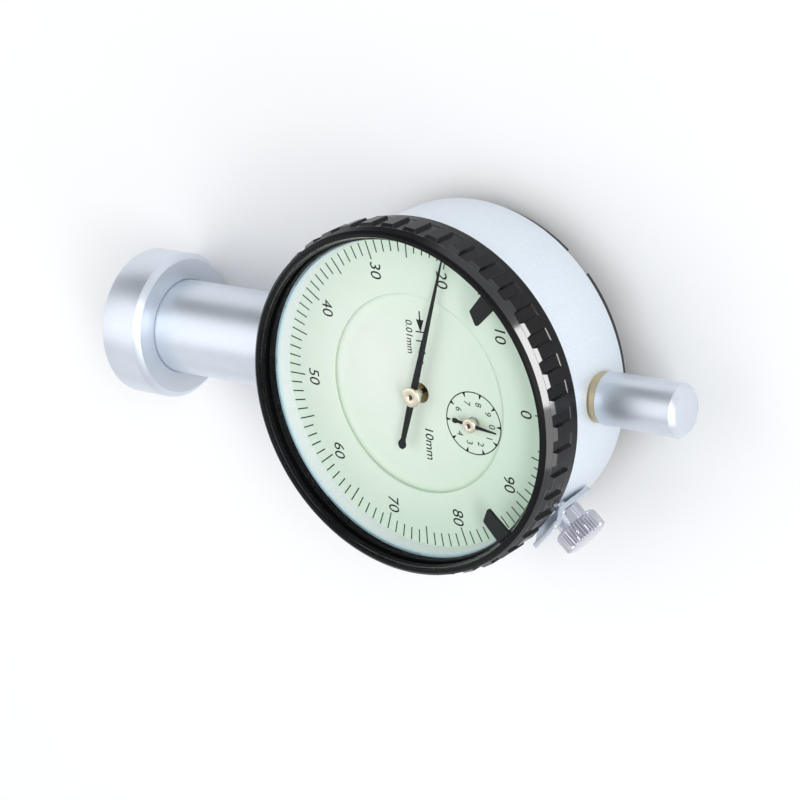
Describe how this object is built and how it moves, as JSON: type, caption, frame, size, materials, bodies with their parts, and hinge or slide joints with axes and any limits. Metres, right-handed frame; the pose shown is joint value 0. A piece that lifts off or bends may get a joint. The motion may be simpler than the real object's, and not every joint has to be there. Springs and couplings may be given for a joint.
{
  "type": "dial depth gauge",
  "caption": "Dial depth gauge: a knurled black bezel and pale dial on a sleeve with a round base, a sliding spindle, two limit markers and a bezel clamp.",
  "frame": {"origin": "centre of the base's measuring face, on the spindle axis", "axes": "+X along the spindle towards the cap, +Z out of the dial, +Y to the dial's left"},
  "size_m": [0.1177, 0.0572, 0.0298],
  "materials": {
    "satin_steel": "fine satin, ground",
    "dark_steel": "plain",
    "bright_steel": "bright plated",
    "satin_silver_case": "fine pale grain",
    "black_paint": "semi gloss black",
    "brass": "plain turned",
    "ruby": "polished",
    "spring_steel": "bright drawn",
    "crystal": "clear",
    "pale_ring": "satin",
    "mint_dial": "smooth matte print"
  },
  "bodies": {
    "case": {"depth_base": "satin_steel", "sleeve_tube": "satin_steel", "spindle_cap": "satin_steel", "stem": "satin_steel", "sleeve_set_screw": "dark_steel", "back_cover_screws": "dark_steel", "pillar_screws": "dark_steel", "movement_screws": "dark_steel", "spring_post": "dark_steel", "clamp_bracket": "bright_steel", "case": "satin_silver_case", "back_cover": "black_paint", "cap_bush": "brass", "stem_bush": "brass", "movement_bottom_plate": "brass", "movement_top_plate": "brass", "center_bridge": "brass", "bridge_pillars": "brass", "plate_pillars": "brass", "guide_rail": "brass", "hairspring_stud": "brass", "jewel_bearings": "ruby", "return_spring": "spring_steel", "hairspring": "spring_steel", "bezel_snap_ring": "spring_steel", "dial_center": "mint_dial"},
    "spindle": {"spindle": "satin_steel", "guide_pin": "satin_steel", "extension_rod": "satin_steel", "contact_point": "bright_steel"},
    "rack_arbor": {"rack_pinion": "brass", "drive_gear": "brass"},
    "centre_arbor": {"center_pinion": "brass", "main_hub": "brass", "main_hand": "black_paint"},
    "takeup_arbor": {"takeup_arbor": "brass", "takeup_gear": "brass", "small_hub": "brass", "small_hand": "black_paint"},
    "bezel": {"bezel": "black_paint", "crystal": "crystal", "spacer_ring": "pale_ring", "dial_ring": "mint_dial", "dial_clip_ring": "spring_steel"},
    "marker_left": {"limit_marker_left": "black_paint"},
    "marker_right": {"limit_marker_right": "black_paint"},
    "clamp_screw": {"clamp_screw": "bright_steel"}
  },
  "joints": [
    {"name": "spindle_slide", "type": "slide", "parent": "case", "child": "spindle", "axis": [1, 0, 0], "range_m": [0, 0.0102], "stiffness_N_per_m": 50, "springref_m": -0.02, "deforming": ["return_spring"]},
    {"name": "rack_arbor_turn", "type": "hinge", "parent": "case", "child": "rack_arbor", "pos_m": [0.05543, 0.00305, 0], "axis": [0, 0, 1], "range_deg": [-0.5, 367.7]},
    {"name": "centre_arbor_turn", "type": "hinge", "parent": "case", "child": "centre_arbor", "pos_m": [0.0656, 0, 0], "axis": [0, 0, 1], "range_deg": [-3673, 1]},
    {"name": "takeup_arbor_turn", "type": "hinge", "parent": "case", "child": "takeup_arbor", "pos_m": [0.07564, -0.00347, 0], "axis": [0, 0, 1], "range_deg": [-0.5, 367.7]},
    {"name": "bezel_turn", "type": "hinge", "parent": "case", "child": "bezel", "pos_m": [0.0656, 0, 0], "axis": [0, 0, 1], "continuous": true},
    {"name": "marker_left_turn", "type": "hinge", "parent": "bezel", "child": "marker_left", "pos_m": [0.0656, 0, 0], "axis": [0, 0, 1], "range_deg": [-36, 124]},
    {"name": "marker_right_turn", "type": "hinge", "parent": "bezel", "child": "marker_right", "pos_m": [0.0656, 0, 0], "axis": [0, 0, 1], "range_deg": [-124, 36]},
    {"name": "clamp_screw_turn", "type": "hinge", "parent": "case", "child": "clamp_screw", "pos_m": [0.08768, -0.02031, 0.00285], "axis": [0.7361, -0.6769, 0], "range_deg": [0, 360]}
  ],
  "couplings": [
    {"joint": "rack_arbor_turn", "follows": "spindle_slide", "rad_per_m": 628.32},
    {"joint": "centre_arbor_turn", "follows": "spindle_slide", "rad_per_m": -6283.2},
    {"joint": "takeup_arbor_turn", "follows": "spindle_slide", "rad_per_m": 628.32}
  ]
}
